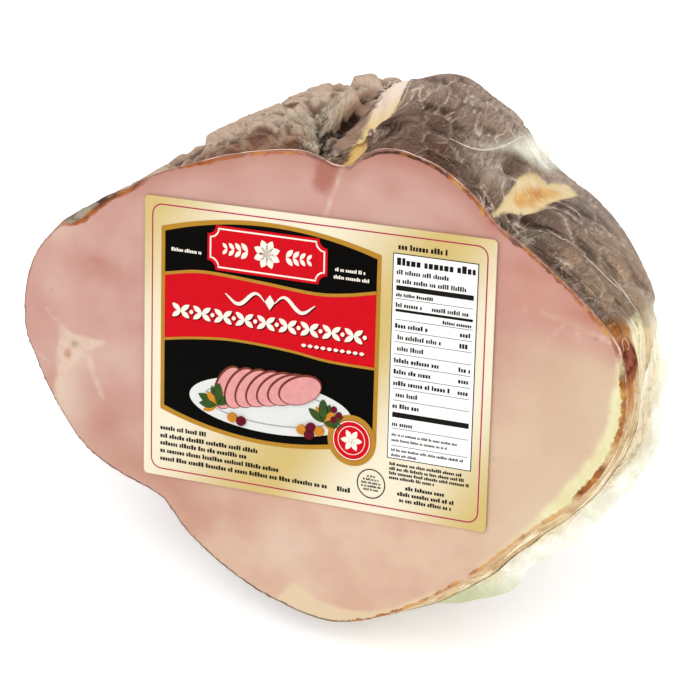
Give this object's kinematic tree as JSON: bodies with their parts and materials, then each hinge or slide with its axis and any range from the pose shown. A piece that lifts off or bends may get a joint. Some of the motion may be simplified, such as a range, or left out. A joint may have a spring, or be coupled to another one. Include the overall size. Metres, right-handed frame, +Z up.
{
  "type": "semi-boneless ham",
  "caption": "Half of a cooked ham with a netted brown rind, cut flat across, vacuum packed in clear film with a spare-film fin and a label on the cut face.",
  "frame": {"origin": "on the floor under the middle of the packed ham's box, as it rests on the flat spot under its belly", "axes": "+X to the right across the cut face as seen from in front, +Y from the cut face towards the far end, +Z up; the cut face looks towards -Y and leans back 20 degrees from upright"},
  "size_m": [0.2284, 0.1876, 0.1727],
  "materials": {
    "packed_ham": "pink cut meat and grey-brown rind under glossy clear film",
    "label": "satin printed label"
  },
  "bodies": {
    "root": {"bag": "packed_ham", "label": "label"}
  },
  "joints": []
}
